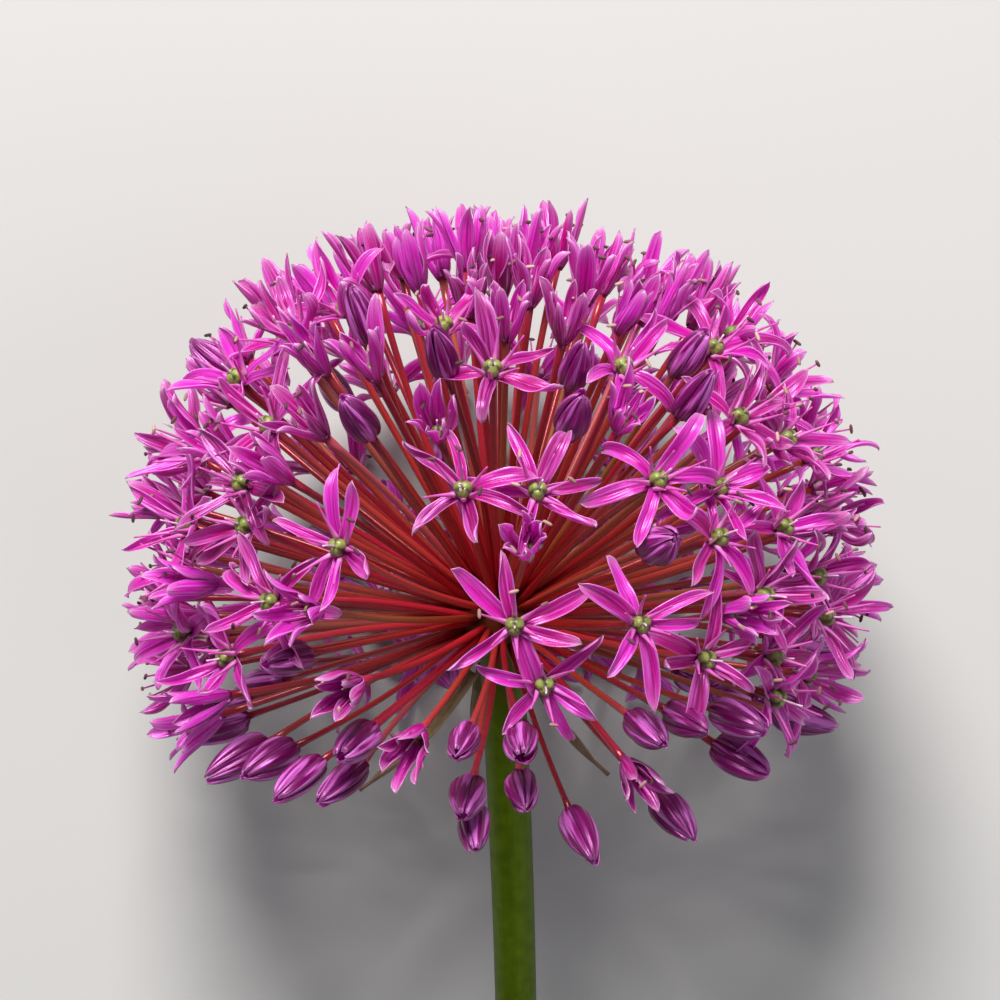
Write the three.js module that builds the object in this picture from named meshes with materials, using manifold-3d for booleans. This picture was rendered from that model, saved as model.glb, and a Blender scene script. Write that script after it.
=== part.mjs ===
// Allium flower head: a round umbel of star-shaped florets on thin red-brown stalks, carried by
// one round green stem. It is cut and lies on a flat surface, resting on the florets of its back
// and on the cut end of the stem.
//
// Millimetres, +Z up. The origin is on the surface, under the middle of the whole piece, and the
// stem points towards -Y. In the umbel's own frame +Z runs up along the stem, -Y is the face that
// looks up from the surface, and the umbel's centre is the origin.

import * as THREE from "three";
import { mergeVertices } from "three/addons/utils/BufferGeometryUtils.js";
import Module from "manifold-3d";

const wasm = await Module();
wasm.setup();

// ---- Driving dimensions ----

const scapeLength = 130; // from the umbel's centre to the cut end
const scapeEndRadius = 2.35;
const scapeNeckRadius = 2.6;
const scapeNeckHeight = -9; // where the stem starts to swell into the knob
const knobRadius = 5; // the swollen top of the stem that carries the florets
const knobStart = -50; // the latitude where the round of the knob starts, in degrees
const knobSteps = 12;
const scapeSides = 24;

const umbelHeight = 38.6; // the umbel's centre above the surface it lies on
const flowerReach = 38.3; // from the umbel's centre to the base of a flower at its equator
const crownReach = 5; // what is added to that from the shoulders to the top of the umbel
const shoulderRise = 6.5; // how fast it grows with the height above the equator, or shrinks
const budDrawIn = 2; // how much shorter the pedicel of a bud is
const cupDrawIn = 1.6; // the same for a half-open flower
const reachScatter = 2.4;
const gap = 0.35; // between pieces that touch
const mergeDistance = 1e-4;
const shortestEdge = 0.004; // shorter ones, left where pedicels meet at a foot, are taken out

const pedicelRadius = 0.45;
const footRadius = 0.38;
const pedicelSides = 5;
const footKnotRadius = 0.55; // of the small knot that a cyme's pedicels rise from
const footHeight = 0.9; // of the middle of that knot above the knob
const footSpacing = 1.42; // between the middles of the knots
const footRounds = 60;
const stalkTopDepth = 0.8; // how far a pedicel runs up into its flower
const openRadius = 5.4; // half the spread of an open flower, as a plain star
const openHeight = 3;
const cupRadius = 3.2; // the same of a half-open flower
const cupHeight = 7;
const budRadius = 1.9;
const budLength = 7.4;
const notchShare = 0.5; // how deep the notches between a star's tepals go
const tepals = 6;

const bractLength = 20;
const bractWidth = 5;
const bractFootWidth = 2.4;
const bractThickness = 0.5;
const bractFootRadius = 3.3; // from the stem's axis
const bractFootHeight = -6.5;
const bractBelly = 0.4; // how far along a bract it is widest, as a share of its length
const bractCurveSteps = 6;

// ---- The umbel's layout ----

// The florets of the upper face, as it is seen with the stem pointing down: a row for every
// latitude, from the crown to the rim, each centred on the middle of the face. O is an open
// floret, h a half-open one, b a bud, and a dot is a place that stays free.
const faceRows = [
  "h",
  "hhhh",
  "ObOhhhh",
  "OOhhbObObOO",
  "O.Ohbh.bhbOO.",
  ".OhOh..OO.OO.O..",
  ".O.O.O..h.bO.Oh.",
  ".Oh.Oh..O.O.hO.O.",
  ".O.O.bh..O..O.O.O.",
  ".h...bhbb.bbbO.O",
  ".h.bbbb.bb.h.b....",
  ".......b.b.b....",
];
const letterStages = { O: "open", h: "cup", b: "bud" };
const faceTopLatitude = 83;
const faceSpacing = 10; // degrees from row to row, and between places along a row

// The rest of the umbel is filled ring by ring, outside the longitudes that the face takes.
const ringLatitudes = [-22, -9, 4, 17, 30, 43, 56, 68, 82];
const ringSpacing = 12.5;
const crownSpacing = 10;
const crownLatitude = 50;
const ringFree = 84;
const rimStages = ["open", "cup", "open", "bud", "open"];
const crownStages = ["cup", "open", "cup", "bud", "cup"];
const rimLatitude = -15; // below it the flowers are still buds, but for those pressed open
const pressedAngle = 32; // flowers this near to straight down are pressed open by the surface
const headingScatter = 5;

const cymeSize = 4; // the most florets that rise from one foot
const cymeSpread = 30; // how far from the first of them the others may stand, in degrees

// Where each kind of random draw starts in the row of repeatable numbers.
const longitudeDraw = 200;
const latitudeDraw = 400;
const stageDraw = 600;

// ---- Small helpers ----

const radians = THREE.MathUtils.degToRad;

// A repeatable number from 0 to 1 for each whole number.
function scatter(index) {
  const value = Math.sin(index * 12.9898) * 43758.5453;
  return value - Math.floor(value);
}

// The unit vector of a longitude and latitude on the umbel.
function heading(longitude, latitude) {
  const lon = radians(longitude);
  const lat = radians(latitude);
  return new THREE.Vector3(
    Math.cos(lat) * Math.sin(lon), -Math.cos(lat) * Math.cos(lon), Math.sin(lat),
  );
}

// Turns and moves a shape that was made along +Z so that it stands on a point, along a direction.
function standOn(geometry, point, direction) {
  const turn = new THREE.Quaternion().setFromUnitVectors(new THREE.Vector3(0, 0, 1), direction);
  geometry.applyQuaternion(turn);
  geometry.translate(point.x, point.y, point.z);
  return geometry;
}

// A shape turned about its own +Z from a closed outline of radius and height.
function turned(outline, sides) {
  const points = outline.map(([radius, height]) => new THREE.Vector2(radius, height));
  const geometry = new THREE.LatheGeometry(points, sides);
  geometry.rotateX(Math.PI / 2);
  return geometry;
}

// ---- How the umbel lies: tilted until the stem's cut end meets the surface too ----

function lyingTilt() {
  const span = Math.hypot(scapeLength, scapeEndRadius);
  return Math.asin(umbelHeight / span) - Math.atan2(scapeEndRadius, scapeLength);
}

const tilt = lyingTilt();
const down = new THREE.Vector3(0, Math.cos(tilt), -Math.sin(tilt));

// ---- Florets: their places ----

function facePlaces() {
  const places = [];
  faceRows.forEach((letters, row) => {
    const latitude = faceTopLatitude - faceSpacing * row;
    const step = faceSpacing / Math.cos(radians(latitude));
    const middle = (letters.length - 1) / 2;
    [...letters].forEach((letter, column) => {
      if (letter in letterStages) {
        const longitude = (column - middle) * step;
        places.push({ longitude, latitude, stage: letterStages[letter] });
      }
    });
  });
  return places;
}

function ringPlaces() {
  const places = [];
  ringLatitudes.forEach((latitude, ring) => {
    const spacing = latitude < crownLatitude ? ringSpacing : crownSpacing;
    const step = spacing / Math.cos(radians(latitude));
    const first = ring % 2 === 0 ? step / 2 : 0;
    const last = first + step * Math.floor((180 - ringFree - first) / step);
    for (let offset = -last; offset < last + step / 2; offset += step) {
      places.push({ longitude: 180 + offset, latitude });
    }
  });
  return places;
}

function ringStage(direction, latitude, index) {
  if (direction.angleTo(down) < radians(pressedAngle)) {
    return "open";
  }
  if (latitude < rimLatitude) {
    return "bud";
  }
  const stages = latitude < crownLatitude ? rimStages : crownStages;
  return stages[Math.floor(stages.length * scatter(index + stageDraw))];
}

function makeFloret(place, index) {
  const aside = headingScatter * (scatter(index + longitudeDraw) - 0.5);
  const above = headingScatter * (scatter(index + latitudeDraw) - 0.5);
  const latitude = place.latitude + above;
  const direction = heading(place.longitude + aside, latitude);
  const stage = place.stage ?? ringStage(direction, latitude, index);
  return { stage, direction, base: flowerBase(direction, stage, index) };
}

// The first floret that is still free forms a cyme with the free ones nearest to it.
function gatherCymes(florets) {
  const cymes = [];
  let free = florets;
  while (free.length > 0) {
    const first = free[0];
    const angle = (floret) => first.direction.angleTo(floret.direction);
    const near = free.filter((floret) => angle(floret) < radians(cymeSpread));
    near.sort((one, other) => angle(one) - angle(other));
    const cyme = near.slice(0, cymeSize);
    cymes.push(cyme);
    free = free.filter((floret) => !cyme.includes(floret));
  }
  return cymes;
}

// From the umbel's centre to the base of a flower.
function flowerBase(direction, stage, index) {
  const rise = Math.min(crownReach, shoulderRise * direction.z);
  const drawIn = { open: 0, cup: cupDrawIn, bud: budDrawIn }[stage];
  return flowerReach + rise - drawIn + reachScatter * (scatter(index) - 0.5);
}

// ---- One flower as a plain closed solid along +Z from its base ----

function starSolid(radius, tipHeight, middleHeight) {
  const star = turned([[0, 0], [radius, tipHeight], [0, middleHeight]], 2 * tepals);
  const at = star.getAttribute("position");
  for (let i = 0; i < at.count; i += 1) {
    const turn = Math.atan2(at.getY(i), at.getX(i)) / (Math.PI / tepals);
    const notch = Math.abs(Math.round(turn)) % 2 === 1;
    if (notch && Math.hypot(at.getX(i), at.getY(i)) > radius / 2) {
      at.setXYZ(i, notchShare * at.getX(i), notchShare * at.getY(i), notchShare * at.getZ(i));
    }
  }
  return star;
}

function budSolid(radius, length) {
  const outline = [[0, 0], [0.8 * radius, 0.25 * length], [radius, 0.55 * length], [0, length]];
  return turned(outline, tepals);
}

function flowerSolid(stage, room) {
  if (stage === "open") {
    return starSolid(Math.min(openRadius, room), openHeight, openHeight);
  }
  if (stage === "cup") {
    return starSolid(Math.min(cupRadius, room), cupHeight, cupHeight / 2);
  }
  return budSolid(Math.min(budRadius, room), budLength);
}

// ---- Joining the pieces of one cyme ----

function toManifold(geometry) {
  geometry.deleteAttribute("normal");
  geometry.deleteAttribute("uv");
  const merged = mergeVertices(geometry, mergeDistance);
  return new wasm.Manifold(new wasm.Mesh({
    numProp: 3,
    vertProperties: new Float32Array(merged.getAttribute("position").array),
    triVerts: new Uint32Array(merged.getIndex().array),
  }));
}

function fromManifold(solid) {
  const mesh = solid.getMesh();
  const geometry = new THREE.BufferGeometry();
  geometry.setAttribute("position", new THREE.BufferAttribute(mesh.vertProperties, 3));
  geometry.setIndex(new THREE.BufferAttribute(mesh.triVerts, 1));
  geometry.computeVertexNormals();
  return geometry;
}

// ---- The cymes ----

// Where every cyme's foot stands on the knob: under the middle of its florets, moved apart from
// the feet beside it.
function footHeadings(cymes) {
  const feet = cymes.map((florets) => {
    const middle = new THREE.Vector3();
    florets.forEach((floret) => middle.add(floret.direction));
    return middle.normalize();
  });
  for (let round = 0; round < footRounds; round += 1) {
    for (let i = 0; i < feet.length; i += 1) {
      for (let j = i + 1; j < feet.length; j += 1) {
        const between = feet[i].clone().sub(feet[j]);
        const missing = footSpacing / (knobRadius + footHeight) - between.length();
        if (missing > 0) {
          between.setLength(missing / 2);
          feet[i].add(between).normalize();
          feet[j].sub(between).normalize();
        }
      }
    }
  }
  return feet;
}

// Half the width that is free around a flower, beside the other flowers and pedicels.
function roomAround(floret, others) {
  const middle = floret.direction.clone().multiplyScalar(floret.base + openHeight);
  const nearest = new THREE.Vector3();
  let room = Infinity;
  others.forEach((other) => {
    const otherMiddle = other.direction.clone().multiplyScalar(other.base + openHeight);
    room = Math.min(room, middle.distanceTo(otherMiddle) / 2 - gap);
    const stalk = new THREE.Line3(other.foot, otherMiddle);
    stalk.closestPointToPoint(middle, true, nearest);
    room = Math.min(room, middle.distanceTo(nearest) - pedicelRadius - gap);
  });
  return room;
}

// A flower on its direction, drawn in until its lowest point is no lower than the surface.
function seatedFlower(floret, room) {
  const solid = standOn(
    flowerSolid(floret.stage, room),
    floret.direction.clone().multiplyScalar(floret.base),
    floret.direction,
  );
  const at = solid.getAttribute("position");
  const point = new THREE.Vector3();
  let depth = 0;
  for (let i = 0; i < at.count; i += 1) {
    depth = Math.max(depth, point.fromBufferAttribute(at, i).dot(down));
  }
  if (depth > umbelHeight) {
    const drawnIn = (depth - umbelHeight) / floret.direction.dot(down);
    floret.base -= drawnIn;
    solid.translate(...floret.direction.clone().multiplyScalar(-drawnIn));
  }
  return solid;
}

function pedicel(foot, top) {
  const along = top.clone().sub(foot);
  const length = along.length();
  const stalk = new THREE.CylinderGeometry(pedicelRadius, footRadius, length, pedicelSides);
  stalk.rotateX(Math.PI / 2);
  stalk.translate(0, 0, length / 2);
  return standOn(stalk, foot, along.normalize());
}

function footKnot(foot) {
  const knot = new THREE.IcosahedronGeometry(footKnotRadius);
  return knot.translate(foot.x, foot.y, foot.z);
}

function cymeSolid(florets, all) {
  const pieces = [footKnot(florets[0].foot)];
  florets.forEach((floret) => {
    const others = all.filter((other) => other !== floret);
    pieces.push(seatedFlower(floret, roomAround(floret, others)));
    const top = floret.direction.clone().multiplyScalar(floret.base + stalkTopDepth);
    pieces.push(pedicel(floret.foot, top));
  });
  const joined = pieces.map(toManifold).reduce((solid, piece) => solid.add(piece));
  return fromManifold(joined.asOriginal().simplify(shortestEdge));
}

function flowerMaterial() {
  return new THREE.MeshStandardMaterial({ color: 0xb23a8a, roughness: 0.5, metalness: 0 });
}

function makeCymes() {
  const florets = [...facePlaces(), ...ringPlaces()].map(makeFloret);
  const cymes = gatherCymes(florets);
  footHeadings(cymes).forEach((footHeading, cyme) => {
    const foot = footHeading.multiplyScalar(knobRadius + footHeight);
    cymes[cyme].forEach((floret) => Object.assign(floret, { foot }));
  });
  return cymes.map((cyme, index) => {
    const mesh = new THREE.Mesh(cymeSolid(cyme, florets), flowerMaterial());
    mesh.name = `cyme_${String(index + 1).padStart(2, "0")}`;
    return mesh;
  });
}

// ---- The scape, with the knob at its top ----

function makeScape() {
  const outline = [
    [0, -scapeLength], [scapeEndRadius, -scapeLength], [scapeNeckRadius, scapeNeckHeight],
  ];
  for (let step = 0; step < knobSteps; step += 1) {
    const latitude = radians(knobStart + ((90 - knobStart) * step) / knobSteps);
    outline.push([knobRadius * Math.cos(latitude), knobRadius * Math.sin(latitude)]);
  }
  outline.push([0, knobRadius]);
  const material = new THREE.MeshStandardMaterial({ color: 0x4a6a1c, roughness: 0.55 });
  const mesh = new THREE.Mesh(turned(outline, scapeSides), material);
  mesh.name = "scape";
  return mesh;
}

// ---- Spathe bracts: papery pointed leaves that hang from the neck ----

// Each bract's longitude and latitude, and its length as a share of the longest.
const bracts = [
  [-60, -38, 1],
  [112, -54, 0.9],
  [-155, -60, 0.7],
];

function makeBract([longitude, latitude, share], index) {
  const length = share * bractLength;
  const leaf = new THREE.Shape();
  leaf.moveTo(bractFootWidth / 2, 0);
  leaf.quadraticCurveTo(bractWidth, bractBelly * length, 0, length);
  leaf.quadraticCurveTo(-bractWidth, bractBelly * length, -bractFootWidth / 2, 0);
  leaf.closePath();
  const blade = new THREE.ExtrudeGeometry(leaf, {
    depth: bractThickness, bevelEnabled: false, curveSegments: bractCurveSteps,
  });
  blade.translate(0, 0, -bractThickness);
  const outward = heading(longitude, 0);
  const along = heading(longitude, latitude);
  const across = new THREE.Vector3().crossVectors(new THREE.Vector3(0, 0, 1), outward);
  const through = new THREE.Vector3().crossVectors(across, along);
  blade.applyMatrix4(new THREE.Matrix4().makeBasis(across, along, through));
  const foot = outward.multiplyScalar(bractFootRadius);
  blade.translate(foot.x, foot.y, bractFootHeight);
  const material = new THREE.MeshStandardMaterial({ color: 0x8a7a4a, roughness: 0.8 });
  material.side = THREE.DoubleSide;
  const mesh = new THREE.Mesh(blade, material);
  mesh.name = `spathe_bract_${index + 1}`;
  return mesh;
}

// ---- The whole flower head, laid on the surface ----

function layDown(umbel) {
  umbel.rotation.set(tilt - Math.PI / 2, 0, 0);
  umbel.position.set(0, 0, umbelHeight);
  const whole = new THREE.Group();
  whole.add(umbel);
  whole.updateMatrixWorld(true);
  const box = new THREE.Box3().setFromObject(umbel, true);
  whole.position.set(-(box.min.x + box.max.x) / 2, -(box.min.y + box.max.y) / 2, 0);
  return whole;
}

const umbel = new THREE.Group();
umbel.add(makeScape());
umbel.add(...bracts.map(makeBract));
umbel.add(...makeCymes());

export default layDown(umbel);
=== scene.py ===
import math

import bpy
import numpy as np
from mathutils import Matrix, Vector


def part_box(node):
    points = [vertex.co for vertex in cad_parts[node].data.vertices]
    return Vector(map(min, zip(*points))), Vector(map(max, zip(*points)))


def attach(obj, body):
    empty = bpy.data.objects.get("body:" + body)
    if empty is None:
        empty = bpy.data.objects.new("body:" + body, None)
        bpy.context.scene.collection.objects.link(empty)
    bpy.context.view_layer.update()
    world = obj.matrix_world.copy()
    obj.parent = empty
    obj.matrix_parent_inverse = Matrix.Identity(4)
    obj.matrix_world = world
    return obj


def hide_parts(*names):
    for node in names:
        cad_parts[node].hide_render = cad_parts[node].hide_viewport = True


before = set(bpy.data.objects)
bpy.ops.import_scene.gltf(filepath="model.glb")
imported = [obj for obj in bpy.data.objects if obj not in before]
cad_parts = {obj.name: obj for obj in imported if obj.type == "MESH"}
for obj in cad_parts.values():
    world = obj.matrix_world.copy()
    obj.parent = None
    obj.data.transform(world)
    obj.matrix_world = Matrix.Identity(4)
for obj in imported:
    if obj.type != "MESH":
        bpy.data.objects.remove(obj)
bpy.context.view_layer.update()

# =============================================================================================
# Scape. The round, smooth green stem: solid, waxy, with very fine ribs along it, a little
# thicker under the head, where it swells into the knob that carries the florets. It grew as one
# piece and is cut across at its foot, where the paler pith shows.
# =============================================================================================


def rgb(red, green, blue):
    """A colour given as seen on a screen, 0 to 255, in the shaders' linear numbers."""
    def linear(value):
        value /= 255
        return value / 12.92 if value <= 0.04045 else ((value + 0.055) / 1.055) ** 2.4
    return (linear(red), linear(green), linear(blue), 1)


# Lengths are in millimetres in the plant's own frame: its origin is the knob's middle, +Z runs
# up along the stem, and -Y points to the side that faces up from the surface. umbel_height is
# how high the knob's middle lies over the surface.
scape_length, scape_end_radius, scape_neck_radius = 130, 2.35, 2.6
scape_sides, scape_rings = 72, 60
scape_bow, oval_share, oval_twist = 2.1, 0.02, 30
rib_count, rib_depth, fine_ribs = 12, 0.02, 26
ribs_start, ribs_end = 0.5 - scape_length, -7
cut_outline = [(0.06, 0.25), (0.55, 0.12), (0.86, 0), (0.97, 0.04), (1, 0.2)]
pith_radius, pith_depth = 2.2, 0.26
neck_end, blush_start, blush_height = -9, -8, 6
knob_radius, knob_rings, knob_low_latitude, knob_top_radius = 5, 24, -58, 0.02
umbel_height = 38.6
metre = 1000

stem_green, stem_light_green, stem_bloom = rgb(50, 68, 0), rgb(68, 88, 4), rgb(96, 112, 16)
neck_crimson = rgb(84, 22, 16)
pith_green, pith_pale = rgb(176, 186, 128), rgb(214, 216, 170)

# The stem slopes down from the knob until the lower rim of its cut end meets the surface.
span = math.hypot(scape_length, scape_end_radius)
tilt = math.asin(umbel_height / span) - math.atan2(scape_end_radius, scape_length)
scape_low, scape_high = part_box("scape")
hub = np.array([
    (scape_low[0] + scape_high[0]) / 2, scape_high[1] - knob_radius / metre, umbel_height / metre,
])


def lay_down(points):
    """Points of the plant's own frame, in the metres of the frame it lies in."""
    x, y, z = np.asarray(points, dtype=float).T
    turned = np.stack([
        x,
        y * math.sin(tilt) + z * math.cos(tilt),
        z * math.sin(tilt) - y * math.cos(tilt),
    ], axis=1)
    return turned / metre + hub


class Piece:
    """Gathers points, faces and per-point marks of one object, then makes its mesh."""

    def __init__(self):
        self.points, self.faces, self.marks, self.count = [], [], {}, 0

    def add(self, points, faces, **marks):
        points = np.asarray(points, dtype=float)
        self.points.append(points)
        self.faces += [tuple(int(corner) + self.count for corner in face) for face in faces]
        for name, values in marks.items():
            values = np.broadcast_to(np.asarray(values, dtype=float), (len(points),))
            self.marks.setdefault(name, []).append(values)
        self.count += len(points)

    def make(self, name, material, replaced):
        mesh = bpy.data.meshes.new(name)
        mesh.from_pydata(lay_down(np.concatenate(self.points)).tolist(), [], self.faces)
        mesh.polygons.foreach_set("use_smooth", [True] * len(mesh.polygons))
        for mark, values in self.marks.items():
            layer = mesh.attributes.new(mark, "FLOAT", "POINT")
            layer.data.foreach_set("value", np.concatenate(values))
        mesh.materials.append(material)
        mesh.update()
        piece = bpy.data.objects.new(name, mesh)
        bpy.context.scene.collection.objects.link(piece)
        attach(piece, "root")
        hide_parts(*replaced)


class Finish:
    """A material, with short ways to wire up its colours, its relief and its gloss."""

    def __init__(self, name):
        self.material = bpy.data.materials.new(name)
        self.material.use_nodes = True
        self.tree = self.material.node_tree
        self.surface = self.tree.nodes["Principled BSDF"]

    def plug(self, socket, value):
        if isinstance(value, bpy.types.NodeSocket):
            self.tree.links.new(value, socket)
        else:
            socket.default_value = value

    def node(self, kind, values, **settings):
        made = self.tree.nodes.new(kind)
        for key, value in settings.items():
            setattr(made, key, value)
        for socket, value in values.items():
            self.plug(made.inputs[socket], value)
        return made

    def mark(self, attribute):
        return self.node("ShaderNodeAttribute", {}, attribute_name=attribute).outputs["Fac"]

    def maths(self, operation, *values):
        return self.node("ShaderNodeMath", dict(enumerate(values)), operation=operation).outputs[0]

    def times(self, first, second):
        return self.maths("MULTIPLY", first, second)

    def noise(self, scale, detail, vector=None):
        place = vector or self.node("ShaderNodeTexCoord", {}).outputs["Object"]
        values = {"Vector": place, "Scale": scale, "Detail": detail}
        return self.node("ShaderNodeTexNoise", values).outputs["Fac"]

    def ramp(self, value, *stops):
        made = self.node("ShaderNodeValToRGB", {"Fac": value})
        elements = made.color_ramp.elements
        elements[0].position, elements[0].color = stops[0]
        elements[1].position, elements[1].color = stops[-1]
        for place, colour in stops[1:-1]:
            elements.new(place).color = colour
        return made.outputs[0]

    def mask(self, value, start, end, most):
        """Nothing below the start, growing to the most at the end."""
        return self.ramp(value, (start, (0, 0, 0, 1)), (end, (most, most, most, 1)))

    def layer(self, base, over, where, share=1):
        """A base colour with another one laid over it, where a mask says and up to a share."""
        amount = where if share == 1 else self.times(where, share)
        values = {0: amount, 6: base, 7: over}  # a colour mix's factor and its two colours
        return self.node("ShaderNodeMix", values, data_type="RGBA").outputs[2]

    def relief(self, height, strength, distance):
        values = {"Height": height, "Strength": strength, "Distance": distance}
        self.plug(self.surface.inputs["Normal"], self.node("ShaderNodeBump", values).outputs[0])

    def set_surface(self, **sockets):
        for name, value in sockets.items():
            self.plug(self.surface.inputs[name.replace("_", " ")], value)


def limit(value):
    """A value kept from 0 to 1."""
    return min(1, max(0, value))


def ring_faces(rings, sides):
    """Quads between closed rings of points, then the two ends as single faces."""
    faces = []
    for ring in range(rings - 1):
        for side in range(sides):
            a = ring * sides + side
            b = ring * sides + (side + 1) % sides
            faces.append((a, b, b + sides, a + sides))
    faces.append(tuple(range(sides))[::-1])
    faces.append(tuple((rings - 1) * sides + side for side in range(sides)))
    return faces


def scape_material():
    skin = Finish("waxy_green_stem")
    ribs = skin.maths("SINE", skin.times(skin.mark("around"), 2 * math.pi * fine_ribs))
    mottle = skin.noise(700, 4)
    colour = skin.ramp(mottle, (0.3, stem_green), (0.7, stem_light_green))
    colour = skin.layer(colour, stem_bloom, skin.noise(180, 2), 0.2)
    colour = skin.layer(colour, neck_crimson, skin.mark("neck"))
    pith = skin.layer(pith_green, pith_pale, skin.noise(2500, 2))
    colour = skin.layer(colour, pith, skin.mark("cut"))
    skin.set_surface(
        Base_Color=colour, Roughness=0.42, Specular_IOR_Level=0.4,
        Specular_Tint=(0.75, 1, 0.2, 1), Subsurface_Weight=0.12, Subsurface_Scale=0.002,
    )
    skin.relief(skin.maths("ADD", skin.times(ribs, 0.25), mottle), 0.25, 0.0001)
    return skin.material


def scape_outline():
    """Radius and height up the stem, from the cut end to the top of the knob."""
    outline = [(share * scape_end_radius, rise - scape_length) for share, rise in cut_outline]
    for step in range(1, scape_rings):
        t = step / scape_rings
        height = -scape_length + t * (scape_length + neck_end)
        outline.append((scape_end_radius + (scape_neck_radius - scape_end_radius) * t, height))
    for step in range(knob_rings + 1):
        rise = (90 - knob_low_latitude) * step / knob_rings
        latitude = math.radians(knob_low_latitude + rise)
        radius = max(knob_radius * math.cos(latitude), knob_top_radius)
        outline.append((radius, knob_radius * math.sin(latitude)))
    return outline


def make_scape():
    outline = scape_outline()
    points, around, neck, cut = [], [], [], []
    for radius, height in outline:
        bow = scape_bow * math.sin(math.pi * limit(-height / scape_length))
        for side in range(scape_sides):
            turn = 2 * math.pi * side / scape_sides
            rib = rib_depth * math.cos(turn * rib_count) * min(1, radius / scape_end_radius)
            oval = 1 + oval_share * math.cos(2 * turn + height / oval_twist)
            r = (radius + rib) * oval if ribs_start < height < ribs_end else radius
            points.append((r * math.cos(turn) + bow, r * math.sin(turn), height))
            around.append(side / scape_sides)
            neck.append(limit((height - blush_start) / blush_height))
            cut.append(height < pith_depth - scape_length and radius < pith_radius)
    stem = Piece()
    faces = ring_faces(len(outline), scape_sides)
    stem.add(points, faces, around=around, neck=neck, cut=cut)
    stem.make("scape_stem", scape_material(), ["scape"])


make_scape()

# =============================================================================================
# Spathe bracts. The papery sheath that wrapped the young head has split into a few pointed,
# veined rags, dry and olive-brown, that hang from the neck just under the knob.
# =============================================================================================

bract_length, bract_width, bract_foot_width, bract_thickness = 20, 5, 2.4, 0.16
bract_foot_radius, bract_foot_height, bract_point = 3.3, -6.5, 0.05
bract_across, bract_along = 12, 28
bract_curl, bract_sway, bract_bulge, bract_crumple = 0.9, 0.9, 1.2, 0.25

# The longitude and the latitude that each bract points to, and its share of the full length.
bracts = [(-60, -38, 1), (112, -54, 0.9), (-155, -60, 0.7)]

bract_browns = (0.3, rgb(104, 92, 52)), (0.6, rgb(142, 128, 84)), (0.8, rgb(150, 112, 112))
bract_vein, bract_tip = rgb(74, 60, 34), rgb(120, 84, 72)


def heading(longitude, latitude):
    """The direction of a place on the umbel; longitude 0 is the middle of the upper face."""
    lon, lat = math.radians(longitude), math.radians(latitude)
    return np.array([
        math.cos(lat) * math.sin(lon), -math.cos(lat) * math.cos(lon), math.sin(lat),
    ])


def sheet_faces(across, along):
    """Faces of a thin closed leaf: a grid of points above, the same below, and the rim."""
    columns = across + 1
    under = columns * (along + 1)
    faces = []
    for row in range(along):
        for column in range(across):
            a = row * columns + column
            top = (a, a + 1, a + 1 + columns, a + columns)
            faces.append(top)
            faces.append(tuple(corner + under for corner in reversed(top)))
    rim = list(range(columns))
    rim += [row * columns + across for row in range(1, along + 1)]
    rim += [along * columns + column for column in range(across - 1, -1, -1)]
    rim += [row * columns for row in range(along - 1, 0, -1)]
    for a, b in zip(rim, rim[1:] + rim[:1]):
        faces.append((b, a, a + under, b + under))
    return faces


def sheet_grid(across, along):
    """How far across (-1 to 1) and along (0 to 1) a leaf its grid of points lies."""
    return np.linspace(-1, 1, across + 1)[None, :], np.linspace(0, 1, along + 1)[:, None]


def sheet_marks(u, t):
    """The same two measures for each point of both layers."""
    return {"across": np.tile((u + 0 * t).ravel(), 2), "along": np.tile((t + 0 * u).ravel(), 2)}


def thicken(grid, thickness):
    """A second layer under a grid of points, each moved back along the sheet's normal."""
    along, across = np.gradient(grid, axis=0), np.gradient(grid, axis=1)
    normal = np.cross(across, along)
    normal /= np.maximum(np.linalg.norm(normal, axis=2, keepdims=True), 1e-9)
    return np.concatenate([
        grid.reshape(-1, 3), (grid - normal * np.asarray(thickness)[..., None]).reshape(-1, 3),
    ])


def bract_material():
    skin = Finish("dry_spathe")
    stripes = skin.maths("SINE", skin.times(skin.mark("across"), 34))
    veins = skin.maths("MULTIPLY_ADD", stripes, 0.5, 0.5)
    blotch = skin.noise(420, 4)
    colour = skin.ramp(blotch, *bract_browns)
    colour = skin.layer(colour, bract_vein, veins, 0.35)
    colour = skin.layer(colour, bract_tip, skin.maths("POWER", skin.mark("along"), 2))
    skin.set_surface(
        Base_Color=colour, Roughness=0.62, Subsurface_Weight=0.15, Subsurface_Scale=0.001,
    )
    skin.relief(skin.maths("ADD", veins, blotch), 0.5, 0.0001)
    return skin.material


def make_bract(number, longitude, latitude, share, material):
    outward, along = heading(longitude, 0), heading(longitude, latitude)
    across = np.cross([0, 0, 1], outward)
    back = np.cross(along, across)
    u, t = sheet_grid(bract_across, bract_along)
    half = bract_foot_width / 2 * (1 - t) ** 2 + bract_width * t * (1 - t) * (1 - 0.25 * t)
    half = np.maximum(half, bract_point)
    curl = bract_curl * half * (0.35 + 0.5 * t)
    sway = bract_sway * np.sin(2.6 * t + number) * t
    crumple = bract_crumple * np.sin(9 * t + 3 * u + number) * t
    out = bract_bulge * np.sin(math.pi * t) + crumple
    grid = (
        (half * u + sway)[..., None] * across
        + (share * bract_length * t + 0 * u)[..., None] * along
        + (out - curl * u ** 2)[..., None] * -back
        + bract_foot_radius * outward + np.array([0, 0, bract_foot_height])
    )
    rag = Piece()
    points = thicken(grid, bract_thickness + 0 * u * t)
    rag.add(points, sheet_faces(bract_across, bract_along), **sheet_marks(u, t))
    rag.make(f"spathe_rag_{number}", material, [f"spathe_bract_{number}"])


spathe_material = bract_material()
for number, (longitude, latitude, share) in enumerate(bracts, start=1):
    make_bract(number, longitude, latitude, share, spathe_material)

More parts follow.
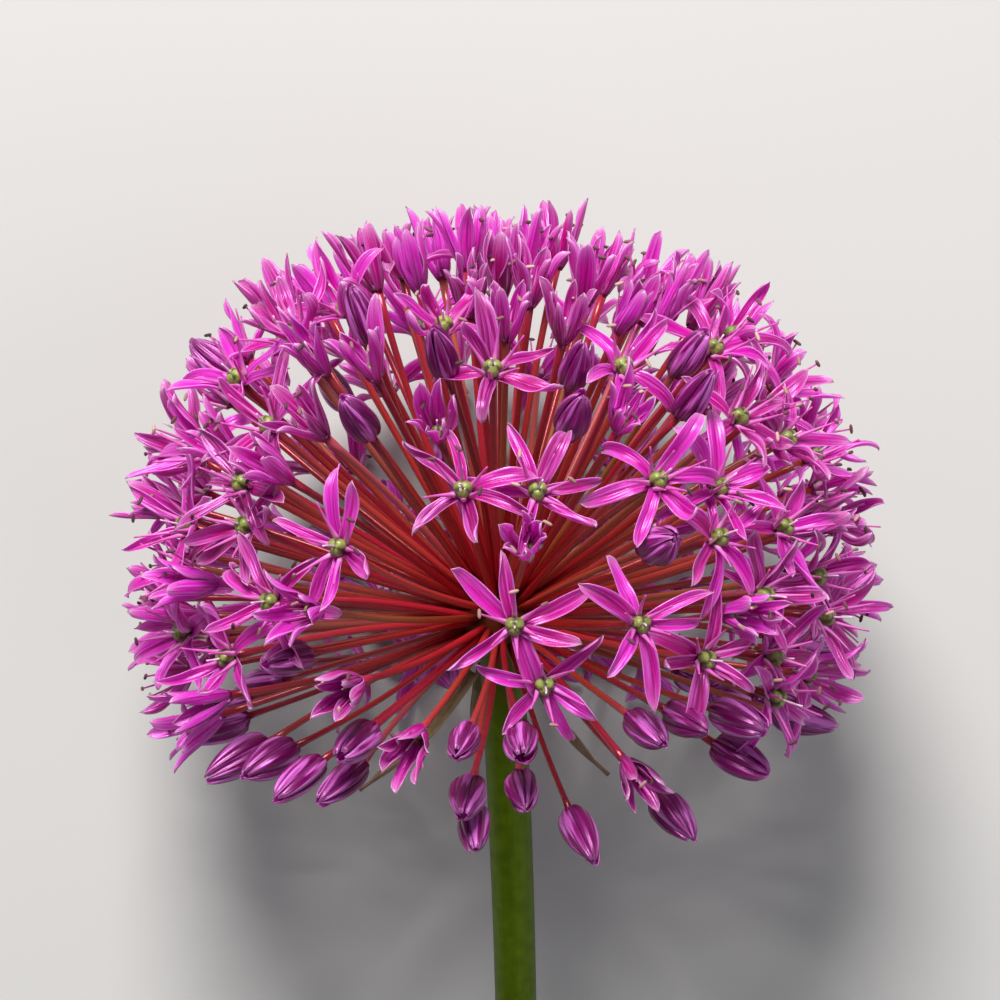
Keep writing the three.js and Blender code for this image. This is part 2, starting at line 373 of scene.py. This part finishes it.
# =============================================================================================
# The umbel's plan. The head is a ball of florets, each on a thin stalk of its own; the stalks
# rise from the knob in small groups (cymes). Here every floret gets its heading on the ball, its
# stage, its stalk's length, how far it has opened and how pale it is.
# =============================================================================================

# The florets of the upper face, as it is seen with the stem pointing down: a row for every
# latitude, from the crown to the rim, each centred on the middle of the face. O is an open
# floret, h a half-open one, b a bud, and a dot is a place that stays free.
face_rows = [
    "h",
    "hhhh",
    "ObOhhhh",
    "OOhhbObObOO",
    "O.Ohbh.bhbOO.",
    ".OhOh..OO.OO.O..",
    ".O.O.O..h.bO.Oh.",
    ".Oh.Oh..O.O.hO.O.",
    ".O.O.bh..O..O.O.O.",
    ".h...bhbb.bbbO.O",
    ".h.bbbb.bb.h.b....",
    ".......b.b.b....",
]
letter_stages = {"O": "open", "h": "cup", "b": "bud"}
face_top_latitude, face_spacing = 83, 10

# The rest of the umbel, ring by ring, in degrees. A ring starts where the face ends.
ring_latitudes = [-22, -9, 4, 17, 30, 43, 56, 68, 82]
ring_spacing, crown_spacing = 12.5, 10
ring_start, crown_latitude, rim_latitude = 84, 50, -15
rim_stages = ["open", "cup", "open", "bud", "open"]
crown_stages = ["cup", "open", "cup", "bud", "cup"]
pressed_angle = 32
heading_scatter = 2.5
cyme_size, cyme_spread = 4, 30

# How far out the flowers sit on their stalks, and each stage's radius and height there.
flower_reach, crown_reach, shoulder_rise = 38.3, 5, 6.5
reach_scatter = 1.2
draw_in = {"open": 0, "cup": 1.6, "bud": 2}
resting_size = {"open": (5, 3), "cup": (3, 7), "bud": (0.5, 7.4)}

# The angle between a flower's petals and its axis; open flowers open wider where they face the
# light. Buds are darker than the flowers, by this share of their paleness.
open_angle, lit_opening, cup_angle = (40, 56), 44, (1, 18)
light_latitude = 15
bud_tint = 0.35

down = np.array([0, math.cos(tilt), -math.sin(tilt)])


def scatter(index):
    """A repeatable draw from 0 to 1. What is added to an index only tells the draws apart."""
    value = math.sin(index * 12.9898) * 43758.5453
    return value - math.floor(value)


def vary(index, low, high):
    """The same draw, from a low value to a high one."""
    return low + (high - low) * scatter(index)


def unit(vector):
    return vector / np.linalg.norm(vector)


def face_places():
    places = []
    for row, letters in enumerate(face_rows):
        latitude = face_top_latitude - face_spacing * row
        step = face_spacing / math.cos(math.radians(latitude))
        middle = (len(letters) - 1) / 2
        for column, letter in enumerate(letters):
            if letter in letter_stages:
                places.append(((column - middle) * step, latitude, letter_stages[letter]))
    return places


def ring_places():
    places = []
    for ring, latitude in enumerate(ring_latitudes):
        spacing = ring_spacing if latitude < crown_latitude else crown_spacing
        step = spacing / math.cos(math.radians(latitude))
        first = step / 2 if ring % 2 == 0 else 0
        last = first + step * math.floor((180 - ring_start - first) / step)
        count = round(2 * last / step) + 1
        places += [(180 - last + step * number, latitude, None) for number in range(count)]
    return places


def ring_stage(direction, latitude, index):
    if direction @ down > math.cos(math.radians(pressed_angle)):
        return "open"
    if latitude < rim_latitude:
        return "bud"
    stages = rim_stages if latitude < crown_latitude else crown_stages
    return stages[math.floor(len(stages) * scatter(index + 600))]


def make_floret(index, longitude, latitude, stage):
    latitude += vary(index + 400, -heading_scatter, heading_scatter)
    longitude += vary(index + 200, -heading_scatter, heading_scatter)
    direction = heading(longitude, latitude)
    stage = stage or ring_stage(direction, latitude, index)
    base = flower_reach + min(crown_reach, shoulder_rise * direction[2]) - draw_in[stage]
    base += vary(index, -reach_scatter, reach_scatter)
    # A flower that would reach below the surface is drawn in along its stalk.
    radius, height = resting_size[stage]
    slope = direction @ down
    depth = (base + height) * slope + radius * math.sqrt(1 - slope ** 2)
    if depth > umbel_height:
        base -= (depth - umbel_height) / slope
    facing = direction @ heading(0, light_latitude)
    if stage == "cup":
        openness = vary(index + 113, *cup_angle)
    else:
        openness = vary(index + 113, *open_angle) + lit_opening * max(0, facing)
    return {
        "index": index, "stage": stage, "direction": direction, "base": base,
        "facing": facing, "openness": openness, "spin": 2 * math.pi * scatter(index + 109),
        "tint": scatter(index + 127) * (bud_tint if stage == "bud" else 1),
    }


def gather_cymes(florets):
    """The first free floret forms a cyme with the free ones nearest to it, and so on."""
    cymes, free = [], florets
    while free:
        first = free[0]["direction"]
        near = [other for other in free
                if other["direction"] @ first > math.cos(math.radians(cyme_spread))]
        near.sort(key=lambda other: -(other["direction"] @ first))
        cymes.append(near[:cyme_size])
        middle = unit(sum(floret["direction"] for floret in cymes[-1]))
        for floret in cymes[-1]:
            floret["cyme_middle"] = middle
        taken = {floret["index"] for floret in cymes[-1]}
        free = [other for other in free if other["index"] not in taken]
    return cymes


cymes = gather_cymes([
    make_floret(index, *place) for index, place in enumerate(face_places() + ring_places())
])

# =============================================================================================
# Pedicels. Each floret's own stalk, a thin, glossy, nearly straight rod from the knob to the
# base of the flower. They run from dark crimson and red-brown to pink, some of them greenish,
# and widen a little where the flower sits on them. Painted light makes them lighter near the
# knob, and painted shade darkens those that point back towards the stem.
# =============================================================================================

pedicel_radius, pedicel_bend = 0.43, 1.1
pedicel_sides, pedicel_rings = 8, 12
foot_height, foot_spread = 0.97, 0.7
flower_share, bud_share, share_scatter = 0.92, 0.8, 0.1
top_flare, foot_flare = 0.35, 0.2

pedicel_reds = [
    (0, rgb(106, 12, 18)), (0.25, rgb(140, 34, 18)), (0.45, rgb(160, 20, 54)),
    (0.65, rgb(152, 58, 28)), (0.8, rgb(190, 68, 60)), (0.92, rgb(132, 96, 42)),
    (1, rgb(206, 92, 114)),
]
# The lighter red at the stalks' feet is painted light, set against the shade among the crowded
# stalks at the knob.
pedicel_mottle, pedicel_top, pedicel_foot_painted_light = rgb(190, 44, 52), rgb(138, 26, 66), rgb(204, 30, 50)
pedicel_shade, shade_start = rgb(112, 14, 34), 2.5


def tube(path, radii, sides):
    """Rings of points around a smooth path, for a closed tube with flat ends."""
    path = np.asarray(path, dtype=float)
    ahead = np.gradient(path, axis=0)
    side = np.cross(ahead[0], [0.31, 0.55, 0.77])  # any direction aslant to the path
    rings = []
    for centre, direction, radius in zip(path, ahead, radii):
        direction = unit(direction)
        side = unit(side - direction * (side @ direction))
        other = np.cross(direction, side)
        for step in range(sides):
            turn = 2 * math.pi * step / sides
            rings.append(centre + radius * (math.cos(turn) * side + math.sin(turn) * other))
    return np.array(rings)


def make_in_cymes(kind, material, add):
    """Makes one kind of piece in every cyme that has it, from what add() gives for a floret."""
    for number, florets in enumerate(cymes, start=1):
        piece = Piece()
        for floret in florets:
            add(piece, floret)
        if piece.count:
            node = f"cyme_{number:02d}"
            piece.make(f"{node}_{kind}", material, [node])


def pedicel_material():
    skin = Finish("glossy_pedicel")
    along = skin.mark("along")
    colour = skin.ramp(skin.mark("tint"), *pedicel_reds)
    colour = skin.layer(colour, pedicel_mottle, skin.noise(500, 3), 0.25)
    colour = skin.layer(colour, pedicel_top, skin.maths("POWER", along, 4), 0.6)
    # Painted light: lighter towards the feet of the stalks, at the knob.
    foot_painted_light = skin.maths("POWER", skin.maths("SUBTRACT", 1, along), 3)
    colour = skin.layer(colour, pedicel_foot_painted_light, foot_painted_light, 0.75)
    colour = skin.layer(colour, pedicel_shade, skin.mark("shaded"), 0.6)
    skin.set_surface(
        Base_Color=colour, Roughness=0.27, Specular_IOR_Level=0.85,
        Specular_Tint=(1, 0.55, 0.5, 1), Subsurface_Weight=0.15, Subsurface_Scale=0.001,
    )
    skin.relief(skin.noise(2600, 2), 0.12, 0.00005)
    return skin.material


def add_pedicel(stalks, floret):
    index, direction = floret["index"], floret["direction"]
    foot = unit(foot_spread * direction + (1 - foot_spread) * floret["cyme_middle"])
    foot = knob_radius * foot_height * foot
    top = floret["base"] * direction
    sideways = unit(np.cross(direction, heading(vary(index + 31, 0, 360), 20)))
    bend = vary(index + 57, -pedicel_bend, pedicel_bend)
    t = np.linspace(0, 1, pedicel_rings)[:, None]
    path = foot + (top - foot) * t + sideways * bend * np.sin(math.pi * t)
    t = t[:, 0]
    share = bud_share if floret["stage"] == "bud" else flower_share
    share += share_scatter * scatter(index + 83)
    radii = pedicel_radius * (share + top_flare * t ** 14 + foot_flare * (1 - t) ** 6)
    stalks.add(
        tube(path, radii, pedicel_sides), ring_faces(pedicel_rings, pedicel_sides),
        along=np.repeat(t, pedicel_sides), tint=scatter(index + 97),
        shaded=limit(-shade_start * direction[2]),
    )


make_in_cymes("pedicels", pedicel_material(), add_pedicel)

# =============================================================================================
# Tepals. Six narrow, pointed petals to a flower, thin and soft, magenta-purple with a darker
# rib, fine lengthwise veins and paler, wavy edges; the pale streaks and edges are partly their
# own colour and partly painted highlight. In a bud they wrap an egg shape, in a half-open
# flower they stand in a loose cup, and in an open one they spread to a star.
# =============================================================================================

tepal_count, tepal_step = 6, 60
tepal_length, tepal_half_width, tepal_point = 8.4, 1.18, 0.02
length_range, width_range = (0.84, 1.18), (0.82, 1.18)
tepal_across, tepal_along = 8, 14
tepal_edge, tepal_rib = 0.05, 0.15
fold_angle, twist_angle, tip_start = (30, 92), (-60, 60), 0.45
ripple_height, ripple_waves, groove_depth, groove_width = 0.22, 9, 0.07, 0.2
flower_lean, light_pull = 0.1, 0.4
give = 0.8  # petals start to bend this far over the surface

# The outer three petals, then the inner three: size, and where they start from the axis.
whorl_length, whorl_width = (1, 0.94), (1, 0.9)
foot_reach, foot_rise = (0.62, 0.54), (-0.2, -0.1)

# How a petal stands, in degrees from the flower's axis: its lean at the foot (outer and inner
# petals), the share of its length that bends, how far it strays from the flower's openness,
# and how its tip curls; then its turn to the side, and its sway in millimetres.
tepal_habits = {
    "open": {
        "foot_lean": (50, 40), "bend_end": 0.4, "stray": (-41.8, 34.2), "tip_curl": (-95, 95),
        "turn": (-21, 21), "sway": (-1.8, 1.8),
    },
    "cup": {
        "foot_lean": (34, 29), "bend_end": 0.6, "stray": (-7, 7), "tip_curl": (-25.2, 30.8),
        "turn": (-8, 8), "sway": (-0.72, 0.72),
    },
}

bud_radius, bud_length, bud_tip_radius, bud_foot_radius = 1.72, 7.8, 0.1, 0.3
bud_girth_range, bud_length_range, bud_petal_range = (0.82, 1.16), (0.92, 1.14), (0.95, 1.05)
bud_foot_power, bud_taper, bud_looseness = 0.42, (0.55, 0.85), (-0.27, 0.63)
bud_wrap, bud_keel, bud_overlap, bud_twist = (37, 33), 0.38, 0.14, (-15, 15)

petal_purples = [
    (0, rgb(116, 0, 62)), (0.3, rgb(176, 2, 108)), (0.65, rgb(210, 4, 160)),
    (1, rgb(230, 30, 196)),
]
# The pale streak and edge tones are partly the tepal's own streaks and margins and partly painted
# highlight.
petal_streak_and_highlight, petal_vein, petal_rib = rgb(242, 110, 232), rgb(104, 2, 80), rgb(92, 2, 60)
petal_edge_and_highlight, petal_tip = rgb(250, 158, 240), rgb(240, 176, 222)
petal_claw, petal_back = rgb(112, 28, 66), rgb(128, 4, 96)
# The buds are plum; their pale pink is a painted highlight, laid on in broad patches.
bud_plum, bud_painted_highlight_pink = rgb(86, 0, 66), rgb(236, 116, 224)


def flower_axes(floret):
    """The flower's own axes: towards the head's top, across, and out along the stalk."""
    lean = np.array([
        vary(floret["index"] + draw, -flower_lean, flower_lean) for draw in (3, 5, 7)
    ])
    pull = light_pull if floret["stage"] == "open" and floret["facing"] > 0 else 0
    out = unit(floret["direction"] + lean + pull * heading(0, light_latitude))
    top = np.array([0, 0, 1]) if out[2] < 0.98 else np.array([0, -1, 0])
    up = unit(top - out * (out @ top))
    return up, np.cross(out, up), out


def place_flower(points, floret):
    """Points of a flower in the plant's frame; what would sink into the surface lies on it."""
    up, across, out = flower_axes(floret)
    placed = points[:, :1] * up + points[:, 1:2] * across + points[:, 2:] * out
    placed = placed + floret["base"] * floret["direction"]
    sunk = np.maximum(placed @ down - (umbel_height - give), 0)
    return placed - np.outer(sunk - give * (1 - np.exp(-sunk / give)), down)


def petal_seed(floret, number):
    return floret["index"] * tepal_count + number


def petal_turn(floret, number, stray=0):
    return floret["spin"] + math.radians(tepal_step * number + stray)


def tepal_outline(t):
    """Half width along a tepal, as a share of the widest: a narrow claw, a belly and a point."""
    belly = t ** 0.75 * (1 - t) ** 0.52 / 0.434
    claw = 0.4 * (1 - t) ** 4
    return belly + claw


def spread_tepal(floret, number, u, t):
    """A grid of points for a tepal of an open or half-open flower, in the flower's own axes."""
    seed, inner = petal_seed(floret, number), number % 2
    habit = tepal_habits[floret["stage"]]
    length = tepal_length * vary(seed + 11, *length_range) * whorl_length[inner]
    half = tepal_half_width * vary(seed + 13, *width_range) * whorl_width[inner]
    start = habit["foot_lean"][inner]
    openness = floret["openness"] + vary(seed + 17, *habit["stray"])
    tip = vary(seed + 19, *habit["tip_curl"])
    angle = np.radians(
        start + (openness - start) * np.clip(t / habit["bend_end"], 0, 1) ** 0.8
        + tip * np.clip((t - tip_start) / (1 - tip_start), 0, 1) ** 1.6
    )
    step = length / tepal_along
    reach = foot_reach[inner] + step * (np.cumsum(np.sin(angle), axis=0) - np.sin(angle[0]))
    height = foot_rise[inner] + step * (np.cumsum(np.cos(angle), axis=0) - np.cos(angle[0]))
    width = half * tepal_outline(t) + tepal_point
    fold = np.radians(vary(seed + 23, *fold_angle)) * (0.8 + 0.5 * t)
    twist = np.radians(vary(seed + 29, *twist_angle)) * t ** 1.5
    sway = vary(seed + 31, *habit["sway"]) * t ** 2
    ripple = ripple_height * np.sin(ripple_waves * t + seed) * np.abs(u) ** 3 * np.sign(u)
    groove = groove_depth * np.exp(-(u / groove_width) ** 2)
    sideways = width * np.sin(fold * u) / fold
    lift = width * (1 - np.cos(fold * u)) / fold - groove + ripple
    lateral = sideways * np.cos(twist) - lift * np.sin(twist) + sway
    lift = lift * np.cos(twist) + sideways * np.sin(twist)
    radial = reach - np.cos(angle) * lift
    rise = height + np.sin(angle) * lift
    turn = petal_turn(floret, number, vary(seed + 37, *habit["turn"]))
    return np.stack([
        radial * math.cos(turn) - lateral * math.sin(turn),
        radial * math.sin(turn) + lateral * math.cos(turn),
        rise,
    ], axis=2)


def closed_tepal(floret, number, u, t):
    """The same for a bud: keeled tepals that overlap around an egg, loose at their tips."""
    seed, index, inner = petal_seed(floret, number), floret["index"], number % 2
    length = bud_length * vary(index + 41, *bud_length_range) * vary(seed + 11, *bud_petal_range)
    girth = bud_radius * vary(index + 43, *bud_girth_range)
    foot, taper = bud_foot_power, vary(index + 59, *bud_taper)
    widest = foot / (foot + taper)
    belly = t ** foot * (1 - t) ** taper / (widest ** foot * (1 - widest) ** taper)
    loose = vary(seed + 17, *bud_looseness) * t ** 4
    core = bud_tip_radius + (bud_foot_radius - bud_tip_radius) * (1 - t)
    radius = core + (girth - bud_foot_radius) * belly * whorl_width[inner] + loose
    bulge = np.sin(math.pi * np.clip(t, 0.02, 0.98)) ** 0.5
    keel = bud_keel * (1 - np.abs(u) ** 1.6) * bulge
    reach = radius + keel + bud_overlap * u * bulge
    wrap = math.radians(bud_wrap[inner]) * (1 - 0.45 * t ** 6)
    turn = petal_turn(floret, number) + wrap * u
    turn = turn + math.radians(vary(index + 53, *bud_twist)) * t
    return np.stack([reach * np.cos(turn), reach * np.sin(turn), length * t + 0 * u], axis=2)


def add_tepals(petals, floret):
    u, t = sheet_grid(tepal_across, tepal_along)
    faces, marks = sheet_faces(tepal_across, tepal_along), sheet_marks(u, t)
    marks["inside"] = np.repeat([1.0, 0.0], (tepal_across + 1) * (tepal_along + 1))
    thickness = tepal_edge + tepal_rib * (1 - u ** 2) * (1 - t) ** 0.5
    closed = floret["stage"] == "bud"
    for number in range(tepal_count):
        if closed:
            grid = closed_tepal(floret, number, u, t)[:, ::-1]
        else:
            grid = spread_tepal(floret, number, u, t)
        points = place_flower(thicken(grid, thickness), floret)
        tint = limit(floret["tint"] + vary(petal_seed(floret, number) + 33, -0.3, 0.3))
        petals.add(points, faces, tint=tint, closed=closed, **marks)


def tepal_material():
    skin = Finish("magenta_tepal")
    across, along, tint = skin.mark("across"), skin.mark("along"), skin.mark("tint")
    inside, closed = skin.mark("inside"), skin.mark("closed")
    side = skin.maths("ABSOLUTE", across)

    def stretched(*scales):
        values = {axis: skin.times(value, scale)
                  for axis, (value, scale) in enumerate(zip((across, along, tint), scales))}
        return skin.node("ShaderNodeCombineXYZ", values).outputs[0]

    streaks = skin.noise(1, 3, stretched(4.5, 1.4, 61))
    wander = skin.maths("ADD", skin.times(across, 17), skin.times(streaks, 4))
    veins = skin.maths("MULTIPLY_ADD", skin.maths("SINE", wander), 0.5, 0.5)
    vein_share = skin.maths("MULTIPLY_ADD", inside, 0.22, 0.16)
    from_rib = skin.maths("SUBTRACT", 1, skin.times(side, 4))
    rib = skin.maths("POWER", skin.maths("MAXIMUM", from_rib, 0), 0.7)
    claw = skin.maths("POWER", skin.maths("SUBTRACT", 1, along), 7)

    colour = skin.ramp(tint, *petal_purples)
    # Pale streaks: partly the tepal's own streaks, partly painted highlight.
    colour = skin.layer(colour, petal_streak_and_highlight, skin.mask(streaks, 0.45, 0.68, 0.75))
    colour = skin.layer(colour, petal_vein, skin.times(veins, vein_share))
    colour = skin.layer(colour, petal_rib, rib, 0.55)
    # Pale edges: partly the tepal's own margins, partly painted highlight.
    colour = skin.layer(colour, petal_edge_and_highlight, skin.maths("POWER", side, 7), 0.5)
    colour = skin.layer(colour, petal_tip, skin.maths("POWER", along, 9), 0.7)
    colour = skin.layer(colour, petal_claw, claw, 0.5)
    colour = skin.layer(colour, petal_back, skin.maths("SUBTRACT", 1, inside), 0.25)
    # Broad pale pink patches on the buds: painted highlights.
    painted_highlight_patches = skin.mask(skin.noise(1, 2, stretched(1.5, 1.1, 173)), 0.5, 0.6, 0.85)
    colour = skin.layer(colour, skin.layer(bud_plum, bud_painted_highlight_pink, painted_highlight_patches), closed, 0.82)
    skin.set_surface(
        Base_Color=colour, Roughness=0.28, Specular_IOR_Level=0.8,
        Specular_Tint=(1, 0.42, 0.92, 1), Subsurface_Weight=0.5, Subsurface_Scale=0.0015,
        Subsurface_Radius=(1, 0.25, 0.75),
    )
    skin.relief(skin.maths("SUBTRACT", streaks, skin.times(veins, 0.6)), 0.55, 0.0001)
    return skin.material


make_in_cymes("tepals", tepal_material(), add_tepals)

# =============================================================================================
# Stamens. Six to a flower, one before each tepal: a lilac filament, pale and broad at its foot
# and drawn out to a thread, and a small oblong anther across its tip, plum to dusty beige. More
# than half of the anthers have dropped. The stamens of a bud are hidden and aren't made.
# =============================================================================================

filament_length, filament_radius = 5.4, 0.36
filament_sides, filament_rings = 6, 8
filament_lean = {"open": (14, 40), "cup": (8, 14)}
filament_foot = {"open": 0.85, "cup": 0.68}
filament_share = {"open": 1, "cup": 0.6}
filament_range, filament_tip, filament_rise = (0.85, 1.15), 0.3, 0.35
filament_curl, filament_stray = (-12, 18), (-6, 6)
anther_length, anther_width, anther_gap = 1.15, 0.42, 0.1
anther_sides, anther_rings = 8, 6
anthers_kept = 0.45

filament_lilacs = (0, rgb(248, 196, 226)), (0.3, rgb(222, 112, 198)), (1, rgb(186, 66, 156))
filament_mottle = rgb(172, 70, 146)
anther_browns = [
    (0, rgb(44, 12, 30)), (0.45, rgb(84, 34, 52)), (0.7, rgb(126, 78, 84)),
    (1, rgb(196, 164, 146)),
]
anther_dust = rgb(186, 150, 140)


def filament_path(floret, number):
    seed, stage = petal_seed(floret, number), floret["stage"]
    lean = math.radians(vary(seed + 61, *filament_lean[stage]))
    length = filament_length * vary(seed + 67, *filament_range)
    curl = math.radians(vary(seed + 71, *filament_curl))
    turn = petal_turn(floret, number, vary(seed + 73, *filament_stray))
    angle = lean + curl * np.linspace(0, 1, filament_rings)
    step = length / (filament_rings - 1)
    reach = filament_foot[stage] + np.concatenate([[0], np.cumsum(np.sin(angle[1:]) * step)])
    rise = filament_rise + np.concatenate([[0], np.cumsum(np.cos(angle[1:]) * step)])
    return np.stack([reach * math.cos(turn), reach * math.sin(turn), rise], axis=1)


def add_filaments(filaments, floret):
    if floret["stage"] == "bud":
        return
    t = np.linspace(0, 1, filament_rings)
    thickness = filament_radius * filament_share[floret["stage"]]
    radii = thickness * (filament_tip + (1 - filament_tip) * (1 - t) ** 1.6)
    faces = ring_faces(filament_rings, filament_sides)
    for number in range(tepal_count):
        path = filament_path(floret, number)
        points = place_flower(tube(path, radii, filament_sides), floret)
        filaments.add(points, faces, along=np.repeat(t, filament_sides))


def add_anthers(anthers, floret):
    if floret["stage"] == "bud":
        return
    s = np.linspace(-1, 1, anther_rings + 1)
    radii = anther_width / 2 * np.sqrt(np.maximum(1 - (0.96 * s) ** 4, 0.02))
    faces = ring_faces(anther_rings + 1, anther_sides)
    for number in range(tepal_count):
        seed = petal_seed(floret, number)
        if scatter(seed + 83) > anthers_kept:
            continue
        path = filament_path(floret, number)
        ahead = unit(path[-1] - path[-2])
        turn = 2 * math.pi * scatter(seed + 79)
        aside = unit(np.cross(ahead, [math.cos(turn), math.sin(turn), 0.2]))
        body = path[-1] + anther_gap * ahead + np.outer(s, aside) * anther_length / 2
        points = place_flower(tube(body, radii, anther_sides), floret)
        anthers.add(points, faces, tint=scatter(seed + 89))


def filament_material():
    skin = Finish("lilac_filament")
    colour = skin.ramp(skin.mark("along"), *filament_lilacs)
    colour = skin.layer(colour, filament_mottle, skin.noise(1500, 2), 0.4)
    skin.set_surface(
        Base_Color=colour, Roughness=0.45, Subsurface_Weight=0.2, Subsurface_Scale=0.001,
    )
    return skin.material


def anther_material():
    skin = Finish("dusty_anther")
    grain = skin.noise(6000, 3)
    colour = skin.ramp(skin.mark("tint"), *anther_browns)
    skin.set_surface(Base_Color=skin.layer(colour, anther_dust, grain, 0.15), Roughness=0.85)
    skin.relief(grain, 0.6, 0.00005)
    return skin.material


make_in_cymes("filaments", filament_material(), add_filaments)
make_in_cymes("anthers", anther_material(), add_anthers)

# =============================================================================================
# Ovaries. In the middle of every open or half-open flower sits a small green ovary of three
# rounded lobes with a short pale style on top: the green dots that mark the flowers' hearts.
# =============================================================================================

ovary_radius, ovary_height, ovary_foot = 1.12, 2.1, 0.25
ovary_share = {"open": 1, "cup": 0.82}
ovary_sides, ovary_rings, lobe_count = 24, 12, 3
pole_gap, lobe_groove, dimple_depth, dimple_radius = 0.04, 0.22, 0.25, 0.35
style_length, style_radius, style_sink = 2.6, 0.13, 0.1
style_range, style_bow = (0.5, 1.3), (-0.25, 0.25)
style_sides, style_rings = 6, 6

# The ovary's greens darken into the grooves between the lobes: painted shade in the creases.
ovary_greens_painted_groove_shade = (0, rgb(40, 42, 12)), (0.6, rgb(92, 104, 44)), (1, rgb(134, 150, 72))
# The pale yellow-green flecks on the ovary are painted highlights on its bumpy skin.
ovary_brown, ovary_fleck_painted_highlight, style_pink = rgb(92, 64, 48), rgb(150, 156, 70), rgb(226, 186, 214)


def add_ovary(ovaries, floret):
    if floret["stage"] == "bud":
        return
    index = floret["index"]
    widest = ovary_radius * ovary_share[floret["stage"]]
    points, lobes = [], []
    for ring in range(ovary_rings + 1):
        angle = math.pi * (pole_gap + (1 - 2 * pole_gap) * ring / ovary_rings)
        for side in range(ovary_sides):
            turn = 2 * math.pi * side / ovary_sides
            lobe = abs(math.sin(lobe_count / 2 * turn)) ** 0.7
            radius = widest * math.sin(angle) ** 0.85 * (1 - lobe_groove * (1 - lobe))
            upper = ring > ovary_rings / 2
            dimple = dimple_depth * math.exp(-(radius / dimple_radius) ** 2) if upper else 0
            height = ovary_foot + ovary_height * (1 - math.cos(angle)) / 2 - dimple
            points.append((radius * math.cos(turn), radius * math.sin(turn), height))
            lobes.append(lobe)
    points = place_flower(np.array(points), floret)
    faces = ring_faces(ovary_rings + 1, ovary_sides)
    ovaries.add(points, faces, lobe=lobes, style=0, tint=scatter(index + 101))
    t = np.linspace(0, 1, style_rings)
    length = style_length * vary(index + 103, *style_range)
    bow = vary(index + 107, *style_bow) * t ** 2
    path = np.stack([bow, -bow, ovary_height - style_sink + length * t], axis=1)
    points = place_flower(tube(path, style_radius * (1.1 - 0.3 * t), style_sides), floret)
    ovaries.add(points, ring_faces(style_rings, style_sides), lobe=1, style=1, tint=0.5)


def ovary_material():
    skin = Finish("green_ovary")
    # Darker towards the grooves between the lobes: painted shade.
    colour = skin.ramp(skin.mark("lobe"), *ovary_greens_painted_groove_shade)
    colour = skin.layer(colour, ovary_brown, skin.mark("tint"), 0.4)
    # Pale flecks: painted highlights.
    colour = skin.layer(colour, ovary_fleck_painted_highlight, skin.mask(skin.noise(1500, 3), 0.5, 0.68, 0.7))
    colour = skin.layer(colour, style_pink, skin.mark("style"))
    skin.set_surface(
        Base_Color=colour, Roughness=0.36, Subsurface_Weight=0.15, Subsurface_Scale=0.001,
    )
    skin.relief(skin.noise(2200, 3), 0.7, 0.0002)
    return skin.material


make_in_cymes("ovaries", ovary_material(), add_ovary)

# =============================================================================================
# The setting. The flower lies on a plain pale surface, under a soft key light above the top of
# the head and a weak, wide one from its right. The camera looks down on the upper face.
# =============================================================================================

floor_size, floor_grey = 3, rgb(180, 179, 177)
sky_colour, sky_strength = (0.86, 0.9, 1, 1), 0.2

# Name, width, power, place beside the middle of the knob (in metres) and colour.
lights = [
    ("key_light", 0.4, 16.4, (-0.12, 0.6, 0.7), (1, 0.98, 0.96)),
    ("fill_light", 1.2, 3, (0.8, -0.3, 0.7), (0.93, 0.96, 1)),
]
camera_latitude, camera_distance = 15, 0.5
sensor_width, picture_width, picture_shift = 36, 0.12, 0.118

bpy.ops.mesh.primitive_plane_add(size=floor_size, location=(0, 0, 0))
floor = bpy.context.object
floor.name = "floor"
paint = Finish("pale_floor")
paint.set_surface(Base_Color=floor_grey, Roughness=0.8)
floor.data.materials.append(paint.material)


def hold(name, data, offset):
    """A light or a camera beside the middle of the knob, turned to look at it."""
    holder = bpy.data.objects.new(name, data)
    holder.location = hub + offset
    holder.rotation_euler = Vector(-np.asarray(offset)).to_track_quat("-Z", "Y").to_euler()
    bpy.context.scene.collection.objects.link(holder)
    return holder


for name, width, power, offset, colour in lights:
    lamp = bpy.data.lights.new(name, "AREA")
    lamp.shape, lamp.size, lamp.energy, lamp.color = "DISK", width, power, colour
    hold(name, lamp, offset)

world = bpy.data.worlds.new("studio")
world.use_nodes = True
world.node_tree.nodes["Background"].inputs["Color"].default_value = sky_colour
world.node_tree.nodes["Background"].inputs["Strength"].default_value = sky_strength
bpy.context.scene.world = world
bpy.context.scene.view_settings.view_transform = "Standard"

camera_data = bpy.data.cameras.new("camera")
camera_data.sensor_width = sensor_width
camera_data.lens = sensor_width * camera_distance / picture_width
camera_data.shift_y = picture_shift
towards_camera = unit(lay_down([heading(0, camera_latitude)])[0] - hub)
bpy.context.scene.camera = hold("camera", camera_data, towards_camera * camera_distance)
